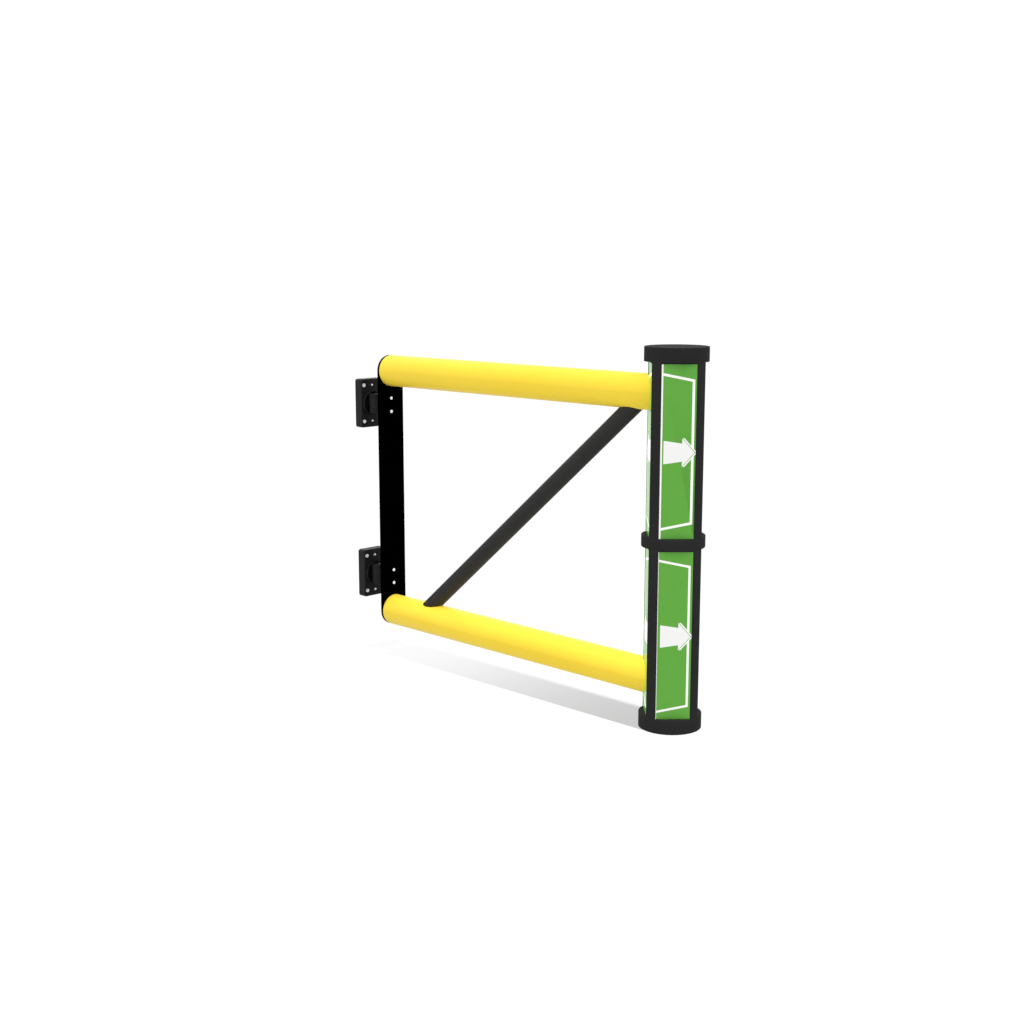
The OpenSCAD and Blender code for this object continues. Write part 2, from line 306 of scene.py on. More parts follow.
def yellow_polymer():
    material, tree, shader = new_finish("rail_yellow")
    drawn = pattern(tree, 220, stretch=(0.025, 1, 1), detail=4)
    cloud = pattern(tree, 6, detail=2)
    scuff = pattern(tree, 45, stretch=(0.3, 1, 1), detail=5, roughness=0.7)
    worn = spread(tree, scuff, 0.66, 0.8, 0, 0.35)
    body = clouded(tree, cloud, CLEAN_YELLOW, DEEP_YELLOW)
    body = blend_colours(tree, worn, body, SCUFFED_YELLOW)
    tree.links.new(body, shader.inputs["Base Color"])
    lines = spread(tree, drawn, 0.3, 0.7, 0.26, 0.36)
    duller = combine(tree, "ADD", lines, combine(tree, "MULTIPLY", worn, 0.5))
    tree.links.new(duller, shader.inputs["Roughness"])
    shader.inputs["Specular IOR Level"].default_value = 0.04
    dent(tree, shader, (drawn, 0.12, 0.06 * MM), (cloud, 0.1, 0.5 * MM))
    return material


rail_yellow = yellow_polymer()
print("rails:", rail_yellow.name)

# %% [markdown]
# ## Brace
#
# The brace is the same kind of drawn tube in dark grey. It leans in the gate's own plane, so its
# pattern has to lean with it, or the drawn lines would run across the tube. Turning the piece
# itself isn't possible, as its place is in its mesh, so the Mapping node turns the pattern. The
# slope is that of the box round the brace, which for so long a tube is as good as its own.

# %% Make the grey of the brace
def grey_polymer():
    material, tree, shader = new_finish("brace_grey")
    low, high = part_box("brace")
    slope = math.atan2(high.z - low.z, high.x - low.x)
    drawn = pattern(tree, 260, stretch=(0.05, 1, 1), turn=(0, -slope, 0), detail=4)
    cloud = pattern(tree, 8, detail=2)
    body = clouded(tree, cloud, grey(0.0275), grey(0.030))
    tree.links.new(body, shader.inputs["Base Color"])
    tree.links.new(spread(tree, drawn, 0.3, 0.7, 0.4, 0.5), shader.inputs["Roughness"])
    shader.inputs["Specular IOR Level"].default_value = 0.06
    dent(tree, shader, (drawn, 0.12, 0.06 * MM))
    print("lines along the brace lean by", round(math.degrees(slope), 1), "degrees")
    return material


brace_grey = grey_polymer()

# %% [markdown]
# ## Powder-coated stile
#
# The stile is a steel plate in deep black powder coat. The powder melts and levels out like the
# peel of an orange, which is a soft noise of two or three millimetres. Gloss paint would need a
# clear coat over the colour, but this coat stays matt enough to lose its mirror reflections, so
# the specular level is simply zero.

# %% Make the powder coat
def powder_coat():
    material, tree, shader = new_finish("stile_black")
    peel = pattern(tree, 420, detail=1)
    cloud = pattern(tree, 7, detail=2)
    scuff = pattern(tree, 80, stretch=(1, 1, 0.3), detail=4, roughness=0.65)
    body = clouded(tree, cloud, grey(0.0001), grey(0.0003))
    rub = edge_wear(tree, 1.0 * MM, scuff, 0.5, 0.65)
    tree.links.new(blend_colours(tree, rub, body, grey(0.003)), shader.inputs["Base Color"])
    tree.links.new(spread(tree, cloud, 0.3, 0.7, 0.55, 0.68), shader.inputs["Roughness"])
    shader.inputs["Specular IOR Level"].default_value = 0.0
    dent(tree, shader, (peel, 0.2, 0.1 * MM))
    return material


stile_black = powder_coat()
print("stile:", stile_black.name)

# %% [markdown]
# ## Green sign sheet and white print
#
# The signs are glossy plastic sheet, screen printed in white. The sheet is nearly flawless, so
# its detail is in the gloss: a faint waviness and fine handling marks, drawn out upright as wiping
# leaves them. The print could be painted into the green with a mask, but here it is a layer of
# its own, so it only needs a finish of its own. The arrow's ink lies a little thinner than that
# of the narrow lines, and is a shade less white.

# %% Make the sign finishes
def glossy_sheet(name, first, second, roughness, gloss):
    material, tree, shader = new_finish(name)
    wave = pattern(tree, 28, detail=1)
    marks = pattern(tree, 160, stretch=(1, 1, 0.2), detail=5, roughness=0.7)
    body = blend_colours(tree, spread(tree, wave, 0.3, 0.7), first, second)
    tree.links.new(body, shader.inputs["Base Color"])
    dull = spread(tree, marks, 0.45, 0.75, roughness, roughness + 0.12)
    tree.links.new(dull, shader.inputs["Roughness"])
    shader.inputs["Specular IOR Level"].default_value = gloss
    dent(tree, shader, (wave, 0.015, 0.3 * MM))
    return material


sign_green = glossy_sheet("sign_green", (0.113, 0.380, 0.0465), (0.117, 0.390, 0.0485), 0.14, 0.2)
arrow_white = glossy_sheet("arrow_white", (0.872, 0.875, 0.86), (0.888, 0.89, 0.88), 0.16, 0.3)
line_white = glossy_sheet("line_white", (0.95, 0.965, 0.91), (0.965, 0.975, 0.93), 0.16, 0.3)
print("signs:", sign_green.name, arrow_white.name, line_white.name)

# %% [markdown]
# ## Steel
#
# Bolt heads are zinc-plated, with a faint blue in their grey, and hinge pins are turned steel.
# Turning leaves rings, and rings could be had from a wave texture, but on pieces this small a
# fine, uneven gloss reads best. The plated heads have a whitish bloom over the metal, so they are
# only partly metallic, while the pins are bare metal.

# %% Make the steel finishes
def bright_steel(name, tone, roughness, metal):
    material, tree, shader = new_finish(name)
    grain = pattern(tree, 1500, detail=2)
    cloud = pattern(tree, 150)
    body = clouded(tree, cloud, tone, tuple(0.92 * value for value in tone))
    tree.links.new(body, shader.inputs["Base Color"])
    dull = spread(tree, grain, 0.3, 0.7, roughness - 0.06, roughness + 0.08)
    tree.links.new(dull, shader.inputs["Roughness"])
    shader.inputs["Metallic"].default_value = metal
    dent(tree, shader, (grain, 0.1, 0.05 * MM))
    return material


bolt_steel = bright_steel("bolt_steel", (0.96, 0.97, 0.98), 0.5, 0.15)
pin_steel = bright_steel("pin_steel", (0.62, 0.62, 0.61), 0.28, 1.0)
print("steels:", bolt_steel.name, pin_steel.name)

# %% [markdown]
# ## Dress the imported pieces
#
# The shapes that came with the gate are right, so they stay. Each one gets its finish, and a
# narrow bevel takes the knife edge off it: no moulded or cut piece has one, and it is the thin
# light on an edge that makes a render look made of something. The bevel could be cut into the
# mesh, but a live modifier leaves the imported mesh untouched. Its angle limit keeps it to true
# edges, and a weld in front of it joins the loose triangles, so that it can see them.

# %% Give each piece its finish and soft edges
PIECE_FINISH = {
    "bracket": (bracket_plastic, 0.5 * MM),
    "pin": (pin_steel, 0.2 * MM),
    "yoke": (yoke_plastic, 1.0 * MM),
    "stile": (stile_black, 0.8 * MM),
    "plug": (bracket_plastic, 0.6 * MM),
    "rail": (rail_yellow, 1.2 * MM),
    "brace": (brace_grey, 0.5 * MM),
    "base": (column_plastic, 1.6 * MM),
    "post": (column_plastic, 0.8 * MM),
    "ring": (column_plastic, 1.6 * MM),
    "cap": (column_plastic, 1.6 * MM),
    "sign": (sign_green, 0.4 * MM),
}


def dress(piece, finish, edge):
    piece.data.materials.clear()
    piece.data.materials.append(finish)
    weld = piece.modifiers.new("weld", "WELD")
    weld.merge_threshold = 0.01 * MM
    soft = piece.modifiers.new("soft_edges", "BEVEL")
    soft.width = edge
    soft.segments = 3
    soft.limit_method = "ANGLE"
    soft.angle_limit = math.radians(35)
    soft.harden_normals = True
    soft.use_clamp_overlap = True


for name, piece in frame["nodes"].items():
    kind = [word for word in PIECE_FINISH if word in name.split("_")][0]
    dress(piece, *PIECE_FINISH[kind])
print("dressed:", len(frame["nodes"]), "pieces")

# %% [markdown]
# ## Grow a button head
#
# Button-head bolts hold the brackets and the stile. A button head is a flattened dome with a
# hexagon socket. The dome could be a squashed ball, but then the socket would need cutting, so
# the bolt is grown instead: the circle at the end of its shank is extruded ring by ring, up the
# shank, out under the head and in over the dome. The last rings are pulled onto a hexagon, and
# the socket goes down from there. With 48 points a ring gives each side of the hexagon eight.

# %% Extrude a ring of edges to a new radius and height
ROUND = 48


def edges_of(parts):
    """The edges among what an operator made."""
    return [part for part in parts if isinstance(part, bmesh.types.BMEdge)]


def next_ring(bm, ring, radius_of, height):
    """Extrudes a ring of edges and sets the new ring at a radius and height."""
    grown = bmesh.ops.extrude_edge_only(bm, edges=ring)["geom"]
    for vertex in [part for part in grown if isinstance(part, bmesh.types.BMVert)]:
        angle = math.atan2(vertex.co.y, vertex.co.x)
        radius = radius_of(angle)
        vertex.co = (radius * math.cos(angle), radius * math.sin(angle), height)
    return edges_of(grown)


def circle(diameter):
    """Radius of a circle of that diameter, which is the same at every angle."""
    return lambda angle: diameter / 2


def hexagon(width):
    """Radius of a hexagon of that width across its flats, at an angle."""
    return lambda angle: width / 2 / math.cos((angle % (math.pi / 3)) - math.pi / 6)


print("a ring has", ROUND, "points")

# %% [markdown]
# ## The bolt's outline, ring by ring
#
# Everything on a real bolt that could cut a hand is broken: the end of the shank has a chamfer,
# and so have the head's rim and the socket's mouth. The dome is a quarter of an ellipse, walked
# in a few steps from the rim to the flat round the socket.

# %% Make a bolt from its sizes
END_CHAMFER = 0.5 * MM
RIM_CHAMFER = 0.2 * MM
RIM_SHARE = 0.16  # of the head's height is a straight rim
FLAT_SHARE = 1.44  # diameter of the flat, in widths of the socket
DOME_RINGS = 6
SOCKET_FLOOR = 0.45  # of the head's height is left under the socket


def button_head(head_d, head_h, socket_w, shank_d, shank_l):
    """A bolt along +Z with the underside of its head at z = 0."""
    bm = bmesh.new()
    bmesh.ops.create_circle(bm, segments=ROUND, radius=shank_d / 2 - END_CHAMFER)
    bmesh.ops.translate(bm, vec=(0, 0, -shank_l), verts=bm.verts)
    ring = list(bm.edges)
    bmesh.ops.holes_fill(bm, edges=ring, sides=ROUND)
    ring = next_ring(bm, ring, circle(shank_d), END_CHAMFER - shank_l)
    ring = next_ring(bm, ring, circle(shank_d), 0)
    ring = next_ring(bm, ring, circle(head_d - 2 * RIM_CHAMFER), 0)
    ring = next_ring(bm, ring, circle(head_d), RIM_CHAMFER)
    ring = next_ring(bm, ring, circle(head_d), RIM_SHARE * head_h)
    flat_d = FLAT_SHARE * socket_w
    for step in range(1, DOME_RINGS + 1):
        turn = step / DOME_RINGS * math.pi / 2
        diameter = flat_d + (head_d - flat_d) * math.cos(turn)
        height = head_h * (RIM_SHARE + (1 - RIM_SHARE) * math.sin(turn))
        ring = next_ring(bm, ring, circle(diameter), height)
    ring = next_ring(bm, ring, hexagon(socket_w + 2 * RIM_CHAMFER), head_h)
    ring = next_ring(bm, ring, hexagon(socket_w), head_h - RIM_CHAMFER)
    ring = next_ring(bm, ring, hexagon(socket_w), head_h * SOCKET_FLOOR)
    bmesh.ops.holes_fill(bm, edges=ring, sides=ROUND)
    bmesh.ops.recalc_face_normals(bm, faces=bm.faces)
    return bm


print("a dome has", DOME_RINGS, "rings")

# %% [markdown]
# ## From a bmesh to a piece of the gate
#
# A new piece needs three things: its mesh, its finishes, and the body that it moves with. Its
# faces could all be shaded flat or smooth, but a bolt has both, so shading is smooth and breaks
# wherever faces meet at more than 30 degrees.

# %% Finish a piece
def to_mesh(name, bm):
    """Takes a bmesh over into a plain mesh."""
    mesh = bpy.data.meshes.new(name)
    bm.to_mesh(mesh)
    bm.free()
    return mesh


def finished(name, bm, finishes, body):
    """Turns a bmesh into a piece that rides on a body of the gate."""
    mesh = to_mesh(name, bm)
    for finish in finishes:
        mesh.materials.append(finish)
    mesh.shade_smooth()
    mesh.set_sharp_from_angle(angle=math.radians(30))
    piece = linked(name, mesh)
    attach(piece, body)
    print(name, "has", len(mesh.polygons), "faces")


# %% [markdown]
# ## Bolts in the brackets
#
# Each bracket is held to its post or wall by M10 bolts at the corners and M6 screws on the centre
# line. The mounts give the rows and columns, so the bolts can't miss their holes. A bracket's six
# bolts are one joined mesh, as they are one set of fixings. Their heads lie on the bottom of the
# seats, their shanks stop just short of the bracket's back, and each bolt is turned a little
# differently about its axis, as tightening leaves it.

# %% Bolt the brackets on
SEAT_X = 32 * MM
SHANK_SHORT = 1 * MM
BRACKET_M10 = dict(head_d=14.8 * MM, head_h=1.8 * MM, socket_w=4 * MM, shank_d=10 * MM)
M6 = dict(head_d=9.5 * MM, head_h=2.0 * MM, socket_w=4 * MM, shank_d=6 * MM)


def add_bolt(into, place, turn, **sizes):
    """Adds one bolt to a bmesh, head towards +X, turned a little about its own axis."""
    bolt = button_head(**sizes)
    bmesh.ops.rotate(bolt, matrix=Matrix.Rotation(turn, 3, "Z"), verts=bolt.verts)
    bmesh.ops.rotate(bolt, matrix=Matrix.Rotation(math.pi / 2, 3, "Y"), verts=bolt.verts)
    bmesh.ops.translate(bolt, vec=place, verts=bolt.verts)
    mesh = to_mesh("bolt", bolt)
    into.from_mesh(mesh)
    bpy.data.meshes.remove(mesh)


def bracket_fixings(level):
    fixings = bmesh.new()
    corners = mounts[level + "_bracket_bolts"]["dims"]
    shank_l = SEAT_X - SHANK_SHORT
    for row in (-1, 1):
        z = hinge_height[level] + row * corners["spacing_y_mm"] * MM / 2
        add_bolt(fixings, (SEAT_X, 0, z), 0.4 * row, shank_l=shank_l, **M6)
        for side in (-1, 1):
            y = side * corners["spacing_x_mm"] * MM / 2
            add_bolt(fixings, (SEAT_X, y, z), 0.5 * side + row, shank_l=shank_l, **BRACKET_M10)
    finished(level + "_bracket_fixings", fixings, [bolt_steel], "hinge_side")


print("heads lie", round(SEAT_X / MM), "mm in front of a bracket's back")

# %% [markdown]
# ## Bolts through the stile
#
# Two M10 bolts go through the stile into the flange of each yoke. They are let nearly into their
# holes, so their heads are smaller than those on the brackets. A piece belongs to one body, and
# these swing with the gate, so they can't be joined to the fixings of the brackets.

# %% Bolt the stile to the yokes
STILE_BOLT_PITCH = 48 * MM
STILE_SHANK = 20 * MM
STILE_M10 = dict(head_d=11.4 * MM, head_h=1.6 * MM, socket_w=4 * MM, shank_d=10 * MM)


def stile_bolts(level):
    clamp = bmesh.new()
    stile_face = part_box("stile")[1].x
    for row in (-1, 1):
        z = hinge_height[level] + row * STILE_BOLT_PITCH / 2
        add_bolt(clamp, (stile_face, 0, z), 0.7 * row, shank_l=STILE_SHANK, **STILE_M10)
    finished(level + "_stile_bolts", clamp, [bolt_steel], "gate")


for level in LEVELS:
    bracket_fixings(level)
    stile_bolts(level)

# %% [markdown]
# ## Printed signs
#
# Each sign carries a white arrow that points round the column, a thin line that echoes its head,
# and a frame line that narrows towards one side. The print could be an image or a mask in the
# green's shader, but it is a layer of ink, so it is modelled as one: flat faces drawn with u
# across the sign and v up from its middle, and given a fifth of a millimetre of thickness later.
# What runs past the sign's outline is cut off with bisect_plane, one limit at a time.

# %% Draw flat shapes and trim them
def flat_shape(bm, points):
    """One face in the drawing plane from a few corners."""
    return bm.faces.new([bm.verts.new((u, v, 0)) for u, v in points])


def cut_along(bm, place, normal, clear=False):
    """Cuts every face where a plane crosses it, and may clear away what lies past the plane."""
    everything = bm.verts[:] + bm.edges[:] + bm.faces[:]
    bmesh.ops.bisect_plane(bm, geom=everything, plane_co=place, plane_no=normal, clear_outer=clear)


def keep_inside(bm, half_width, half_height, margin=0.0):
    """Trims the drawing to the sign's outline, less a margin along the arrow's tail side."""
    limits = [Vector((margin - half_width, 0, 0)), Vector((half_width, 0, 0)),
              Vector((0, -half_height, 0)), Vector((0, half_height, 0))]
    for limit in limits:
        cut_along(bm, limit, limit.normalized(), clear=True)


print("drawings are trimmed on four sides")

# %% [markdown]
# ## Arrow and echo line
#
# The arrow is a tapering tail and a broad head. The line that follows its head runs parallel to
# it at a small gap, and the sign's side cuts off its very tip. Both are a few corners joined to
# faces, which is quicker and cleaner than cutting them out of a larger shape.

# %% Draw the arrow and the line that echoes its head
# Tail, neck and tip lie on the arrow's centre line, and each half width is measured from it.
ARROW_TAIL = -42.3 * MM
ARROW_NECK = 11.8 * MM
ARROW_TIP = 48.6 * MM
TAIL_HALF = 34.5 * MM
NECK_HALF = 26.5 * MM
HEAD_HALF = 42.0 * MM
ECHO_GAP = 2.2 * MM
ECHO_LINE = 5.0 * MM


def arrow():
    bm = bmesh.new()
    flat_shape(bm, [(ARROW_TAIL, -TAIL_HALF), (ARROW_NECK, -NECK_HALF), (ARROW_NECK, -HEAD_HALF),
                    (ARROW_TIP, 0), (ARROW_NECK, HEAD_HALF), (ARROW_NECK, NECK_HALF),
                    (ARROW_TAIL, TAIL_HALF)])
    return bm


def echo(half_width, half_height):
    bm = bmesh.new()
    start = ARROW_NECK + ECHO_GAP
    reach = ARROW_TIP + ECHO_GAP
    for side in (-1, 1):
        flat_shape(bm, [(start, side * HEAD_HALF), (start + ECHO_LINE, side * HEAD_HALF),
                        (reach + ECHO_LINE, 0), (reach, 0)])
    keep_inside(bm, half_width, half_height)
    return bm


print("an arrow is", round((ARROW_TIP - ARROW_TAIL) / MM, 1), "mm long")

# %% [markdown]
# ## Make way for the arrow's head
#
# The frame line would run across the arrow's head and its echo, so it has to break off at their
# slopes. Laying the arrow higher than the line would hide the crossing, but not the gap between
# head and echo. So both slopes of the echo's outer side are cut through the line as planes, and
# every face that then lies behind both of them is deleted.

# %% Open a line for the arrow's head
def make_way_for_arrow(bm):
    """Deletes what lies under the arrow's head and its echo."""
    tip = Vector((ARROW_TIP + ECHO_GAP + ECHO_LINE, 0, 0))
    run = ARROW_TIP - ARROW_NECK
    outward = [Vector((HEAD_HALF, side * run, 0)).normalized() for side in (-1, 1)]
    for normal in outward:
        cut_along(bm, tip, normal)
    covered = [face for face in bm.faces
               if all((face.calc_center_median() - tip).dot(normal) < 0 for normal in outward)]
    bmesh.ops.delete(bm, geom=covered, context="FACES")


print("the echo's tip lies", round((ARROW_TIP + ECHO_GAP + ECHO_LINE) / MM, 1), "mm off centre")

# %% [markdown]
# ## Frame line
#
# The frame is one line of even width round a shape that narrows away from the arrow's tail. Three
# of its sides show and the fourth lies past the sign. Four bars would have to be mitred by hand.
# Inset does it in one step: a face with the frame's outer corners is inset by the line's width,
# and its middle is deleted. A second, straight line runs down the sign's edge on the arrow's tail
# side, and the frame stops where that line starts.

# %% Draw the frame line and the line along the edge
LINE = {"lower": 6.8 * MM, "upper": 7.4 * MM}
EDGE_LINE = {"lower": 1.5 * MM, "upper": 5.0 * MM}
FRAME_SIDE = {"lower": 44.9 * MM, "upper": 46.0 * MM}
# How far top and foot keep from the sign's own, at the arrow's tail side and at the other side
FRAME_TOP = {"lower": (22.3 * MM, 41.7 * MM), "upper": (24.3 * MM, 44.1 * MM)}
FRAME_FOOT = {"lower": (19.4 * MM, 38.9 * MM), "upper": (24.3 * MM, 44.1 * MM)}


def frame_line(level, half_width, half_height):
    """Three sides of the frame, trimmed to the sign."""
    bm = bmesh.new()
    line = LINE[level]
    side = FRAME_SIDE[level]
    past = half_width + 2 * line
    corners = []
    for end, (tail_drop, side_drop) in ((-1, FRAME_FOOT[level]), (1, FRAME_TOP[level])):
        slope = (side_drop - tail_drop) / (side + half_width)
        corners.append([(-past, end * (half_height - tail_drop + slope * 2 * line)),
                        (side, end * (half_height - side_drop))])
    face = flat_shape(bm, corners[0] + corners[1][::-1])
    bm.normal_update()
    bmesh.ops.inset_region(bm, faces=[face], thickness=line,
                           use_boundary=True, use_even_offset=True)
    bmesh.ops.delete(bm, geom=[face], context="FACES_ONLY")
    make_way_for_arrow(bm)
    keep_inside(bm, half_width, half_height, margin=EDGE_LINE[level])
    return bm


def edge_line(level, half_width, half_height):
    """The straight line down the sign's edge."""
    bm = bmesh.new()
    inner = EDGE_LINE[level] - half_width
    flat_shape(bm, [(-half_width, -half_height), (inner, -half_height),
                    (inner, half_height), (-half_width, half_height)])
    return bm


print("frame lines are", {level: round(LINE[level] / MM, 1) for level in LEVELS}, "mm wide")

# %% [markdown]
# ## Where each sign lies
#
# A drawing gets onto its sign by one matrix: its columns are the direction across the sign, the
# direction up, and the direction out of it. Three turns and a shift would do the same, but only
# a matrix also mirrors. Two of the four sides need that, because every arrow points away from
# the column's front or back edge. The sign's face and its half width and height are measured
# along the same directions.

# %% Find a sign's plane
SIGN_TURNS = {"front_outer": -45, "front_inner": -135, "back_outer": 45, "back_inner": 135}
UP = Vector((0, 0, 1))


def sign_plane(sign, turn):
    """Matrix from the drawing plane to a sign's face, with the face's half width and height."""
    out = Vector((math.cos(turn), math.sin(turn), 0))
    across = Vector((math.copysign(1, out.x), -math.copysign(1, out.y), 0)).normalized()
    axis = Vector((column_x, 0, 0))
    points = [vertex.co - axis for vertex in sign.data.vertices]
    face = max(point.dot(out) for point in points)
    half_width = max(abs(point.dot(across)) for point in points)
    low = min(point.z for point in points)
    high = max(point.z for point in points)
    plane = Matrix((across, UP, out)).transposed().to_4x4()
    plane.translation = axis + out * face + UP * (low + high) / 2
    return plane, half_width, (high - low) / 2


print("signs face", sorted(SIGN_TURNS.values()), "degrees round from +X")

# %% [markdown]
# ## From drawing to ink
#
# Screen ink lies on the sheet in a thin, even layer. A Solidify modifier could give it that, but
# extruding the faces once keeps the print plain geometry. Only then does the matrix set it on its
# sign, and a mirrored drawing is inside out, so its normals are worked out afresh.

# %% Give the drawing its thickness
INK = 0.2 * MM


def solid_ink(drawing, plane):
    """Gives a flat drawing the thickness of the ink and sets it on its sign."""
    grown = bmesh.ops.extrude_face_region(drawing, geom=drawing.faces[:])
    top = [part for part in grown["geom"] if isinstance(part, bmesh.types.BMVert)]
    bmesh.ops.translate(drawing, vec=(0, 0, INK), verts=top)
    bmesh.ops.transform(drawing, matrix=plane, verts=drawing.verts)
    bmesh.ops.recalc_face_normals(drawing, faces=drawing.faces)
    return to_mesh("drawing", drawing)


print("ink is", INK / MM, "mm thick")

# %% [markdown]
# ## Clear the print where the rails go in
#
# The inner signs are notched where the rails enter the column, and ink can't hang over a hole.
# The print's corners could be moved to the notch by hand, but the notch is round. So a round bar
# a little wider than the opening is taken out of the print with a Boolean, whose result is kept
# as a mesh, and the bar is thrown away once its two signs are printed.

# %% Cut the print clear of the rails
RAIL_ROOM = 1.0 * MM
CUTTER_LENGTH = 400 * MM


def dropped(item):
    """Takes an object and its mesh out of the file."""
    mesh = item.data
    bpy.data.objects.remove(item)
    bpy.data.meshes.remove(mesh)


def rail_cutter(level):
    """A round bar along the rail that ends at the column's axis."""
    low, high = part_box(level + "_rail")
    radius = (high.z - low.z) / 2 + RAIL_ROOM
    middle = (column_x - CUTTER_LENGTH / 2, 0, (low.z + high.z) / 2)
    bm = bmesh.new()
    bmesh.ops.create_cone(bm, cap_ends=True, segments=96, radius1=radius, radius2=radius,
                          depth=CUTTER_LENGTH)
    bmesh.ops.rotate(bm, matrix=Matrix.Rotation(math.pi / 2, 3, "Y"), verts=bm.verts)
    bmesh.ops.translate(bm, vec=middle, verts=bm.verts)
    return linked("rail_cutter", to_mesh("rail_cutter", bm))


def cut_away(mesh, cutter):
    """The mesh with the cutter's shape taken out of it."""
    item = linked("drawing", mesh)
    cut = item.modifiers.new("cut", "BOOLEAN")
    cut.operation = "DIFFERENCE"
    cut.object = cutter
    cut.solver = "EXACT"
    worked_out = item.evaluated_get(bpy.context.evaluated_depsgraph_get())
    result = bpy.data.meshes.new_from_object(worked_out)
    dropped(item)
    return result


print("print stays", RAIL_ROOM / MM, "mm clear of the rails")

# %% [markdown]
# ## Print all eight signs
#
# Each sign's print is one mesh with two finishes, the arrow's and the lines'. Separate pieces
# would be simpler, but print on one sheet is one thing. The drawings are joined one after
# another, and the faces that a drawing brings in get its finish by number.

# %% Print the signs
ARROW_FINISH = 0
LINE_FINISH = 1


def add_ink(layer, ink, finish_number):
    """Adds one drawing to the sign's layer of ink."""
    before = len(layer.faces)
    layer.from_mesh(ink)
    bpy.data.meshes.remove(ink)
    layer.faces.ensure_lookup_table()
    for face in layer.faces[before:]:
        face.material_index = finish_number


def print_sign(level, side, cutter):
    sign = frame["nodes"][f"{level}_sign_{side}"]
    plane, half_width, half_height = sign_plane(sign, math.radians(SIGN_TURNS[side]))
    drawings = [(arrow(), ARROW_FINISH),
                (echo(half_width, half_height), LINE_FINISH),
                (frame_line(level, half_width, half_height), LINE_FINISH),
                (edge_line(level, half_width, half_height), LINE_FINISH)]
    layer = bmesh.new()
    for drawing, finish_number in drawings:
        ink = solid_ink(drawing, plane)
        if "inner" in side:
            ink = cut_away(ink, cutter)
        add_ink(layer, ink, finish_number)
    finished(f"{level}_print_{side}", layer, [arrow_white, line_white], "gate")


for level in LEVELS:
    cutter = rail_cutter(level)
    for side in SIGN_TURNS:
        print_sign(level, side, cutter)
    dropped(cutter)

# %% [markdown]
# ## White floor with a band of shade
#
# The gate stands over a plain white floor, on which only a band of shade shows, dark at the column
# and fading towards the hinges. An ordinary white floor in a white surround also takes soft
# shade from all over and turns grey. This floor is nearly black instead and lit by a sun of its
# own that is strong enough to make it white. Where a rail blocks that sun, only a glow is left,
# and the glow is the shade wanted at that place. Under the column and past it the glow alone is
# white. All this is for the camera: to other rays the floor simply glows white, so that it lights
# the gate from below as a floor does.

# %% Make the floor's finish
FLOOR_SUN = 80.0
FLOOR_GLOW = 0.87
WHITE = 1.03  # a little over full white, so that no noise can grey it
SHADE_DARK = 0.587
SHADE_GONE = 0.974
SHADE_NEAR = -0.03  # metres from the column's axis to where the shade is darkest
SHADE_FAR = -1.33  # and to where it has faded
PAST_COLUMN = (-0.075, -0.065)  # between these places the glow rises to white


def shade_along(tree, along):
    """Brightness of the shade at each place along the closed gate."""
    fading = spread(tree, along, column_x + SHADE_FAR, column_x + SHADE_NEAR,
                    SHADE_GONE, SHADE_DARK, smooth=True)
    start, end = [column_x + place for place in PAST_COLUMN]
    return combine(tree, "MAXIMUM", fading, spread(tree, along, start, end, 0, WHITE))


def white_floor():
    material, tree, shader = new_finish("floor_white")
    shader.inputs["Roughness"].default_value = 1
    shader.inputs["Specular IOR Level"].default_value = 0
    shader.inputs["Emission Color"].default_value = (1, 1, 1, 1)
    material.cycles.emission_sampling = "NONE"
    place = tree.nodes.new("ShaderNodeTexCoord")
    axes = tree.nodes.new("ShaderNodeSeparateXYZ")
    tree.links.new(place.outputs["Object"], axes.inputs["Vector"])
    shade = shade_along(tree, axes.outputs["X"])
    seen = tree.nodes.new("ShaderNodeLightPath").outputs["Is Camera Ray"]
    sunlit = spread(tree, shade, 0, WHITE, WHITE * math.pi / FLOOR_SUN, 0)
    tree.links.new(combine(tree, "MULTIPLY", sunlit, seen), shader.inputs["Base Color"])
    glow = combine(tree, "MULTIPLY", shade, seen)
    thrown = spread(tree, seen, 0, 1, FLOOR_GLOW, 0)
    tree.links.new(combine(tree, "ADD", glow, thrown), shader.inputs["Emission Strength"])
    return material


floor_white = white_floor()
print("the darkest shade has a brightness of", SHADE_DARK)

# %% [markdown]
# ## Lay the floor and the surround
#
# The floor lies a little under the column's foot, because a gate hangs clear of the ground or its
# foot would drag when it swings. It is a single large square. The surround is an even white
# world, which gives soft light from everywhere and no visible horizon.

# %% Lay the floor and set the surround
FLOOR_GAP = 23 * MM
FLOOR_SIZE = 60

floor_bm = bmesh.new()
bmesh.ops.create_grid(floor_bm, x_segments=1, y_segments=1, size=FLOOR_SIZE / 2)
bmesh.ops.translate(floor_bm, vec=(column_x, 0, foot_z - FLOOR_GAP), verts=floor_bm.verts)
floor = linked("floor", to_mesh("floor", floor_bm))
floor.data.materials.append(floor_white)

world = bpy.data.worlds.new("white_surround")
world.use_nodes = True
background = world.node_tree.nodes["Background"]
background.inputs["Color"].default_value = (1, 1, 1, 1)
background.inputs["Strength"].default_value = 1.15
bpy.context.scene.world = world
print("floor at z =", round(foot_z - FLOOR_GAP, 4))

# %% [markdown]
# ## Helpers for lights
#
# A product shot has a light for each thing it wants to show, and screens keep that light off the
# rest. Blender's light linking does the same with collections: a light has one of the objects
# that receive it and one of those that block it. A receiver that is marked EXCLUDE turns the
# first collection round, so that the light falls on everything else.

# %% Hang lights and choose what they light
def sun(name, energy, width, lean=0, turn=0):
    """A nearly parallel light from above, tipped by lean towards +Y and turned about Z."""
    data = bpy.data.lights.new(name, "SUN")
    data.energy = energy
    data.angle = math.radians(width)
    lamp = linked(name, data)
    lamp.rotation_euler = (math.radians(lean), 0, math.radians(turn))
    return lamp


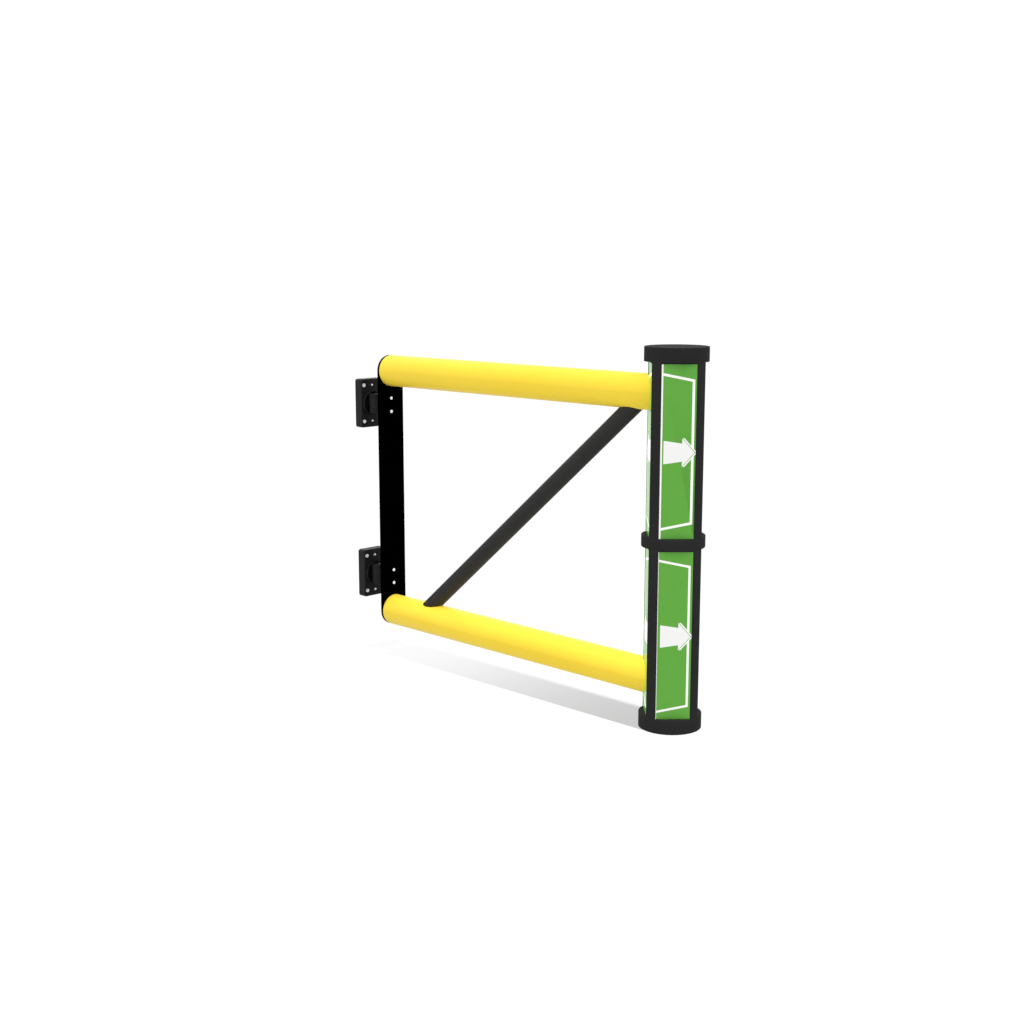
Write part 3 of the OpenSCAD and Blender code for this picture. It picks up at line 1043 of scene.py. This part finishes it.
def group_of(name, objects):
    """A collection that only light linking uses."""
    group = bpy.data.collections.new(name)
    for item in objects:
        group.objects.link(item)
    return group


def all_but(group):
    """Turns a group for light linking into its opposite."""
    for member in group.collection_objects:
        member.light_linking.link_state = "EXCLUDE"
    return group


rails = [frame["nodes"][level + "_rail"] for level in LEVELS]
lower_rail = rails[0]
hinges = [frame["nodes"][level + part] for level in LEVELS for part in ("_bracket", "_yoke")]
print("rails:", len(rails), "and hinge pieces:", len(hinges))

# %% [markdown]
# ## Light on the gate
#
# A light from straight above brings out the round of the rails and the top of the cap. If the
# whole gate blocked it, the upper rail would darken what lies under it, so only the hinges cast
# shadows here, into the dishes of their brackets. The lower rail has a stronger light of its own,
# so that its top, of which the camera sees more, comes out as the brightest yellow. The brace
# gets neither, or a pale streak would run up it.

# %% Light the gate from above
hinge_shadows = group_of("hinge_pieces", hinges)

gate_sun = sun("gate_sun", 1.5, 3)
unlit = group_of("not_for_gate_sun", [floor, lower_rail, frame["nodes"]["brace"]])
gate_sun.light_linking.receiver_collection = all_but(unlit)
gate_sun.light_linking.blocker_collection = hinge_shadows

rail_sun = sun("rail_sun", 2.1, 3)
rail_sun.light_linking.receiver_collection = group_of("lower_rail_only", [lower_rail])
rail_sun.light_linking.blocker_collection = hinge_shadows
print("top light:", gate_sun.data.energy, "and on the lower rail:", round(rail_sun.data.energy, 1))

# %% [markdown]
# ## Light on the floor
#
# The sun that the floor's finish counts on falls on the floor alone. It leans a little, so that
# the band of shade comes to lie behind the gate. The brace, the column and the signs don't block
# it, which keeps the shade to one clean band, and the sun is narrow, which keeps the band's edges
# firm.

# %% Light the floor
SHADE_LEAN = 4.4
floor_sun = sun("floor_sun", FLOOR_SUN, 2, lean=SHADE_LEAN)
floor_sun.light_linking.receiver_collection = group_of("floor_only", [floor])
shade_casters = rails + hinges + [frame["nodes"]["stile"]]
floor_sun.light_linking.blocker_collection = group_of("rails_and_hinges", shade_casters)
print("pieces that shade the floor:", len(shade_casters))

# %% [markdown]
# ## Light on the inner signs and the bolts
#
# The signs that face back along the gate are seen very flat, and the brackets' bolts sit in black
# plastic, so both would look dull. A level light from the gate's front left meets those signs
# squarely and catches the rims of the bolt heads. A plain lamp there would also pale the black
# plastic, so this one is kept to the signs, their print and the brackets' bolts. It is wide and
# soft, and only the column's posts block it.

# %% Light the inner signs and the bolts
BRIGHT = ("_sign_", "_print_", "_fixings")
bright_pieces = [item for item in bpy.data.objects if any(word in item.name for word in BRIGHT)]
posts = [frame["nodes"][level + "_post"] for level in LEVELS]
front_light = sun("front_light", 2.4, 20, lean=90, turn=-45)
front_light.light_linking.receiver_collection = group_of("bright_pieces", bright_pieces)
front_light.light_linking.blocker_collection = group_of("posts", posts)
bpy.context.scene.view_settings.view_transform = "Standard"
print("pieces lit from the front left:", len(bright_pieces))

# %% [markdown]
# ## Size
#
# Everything added has to stay inside the imported gate's own size, or the gate wouldn't fit where
# it is meant to.

# %% End of the script
print("the scene is set up")
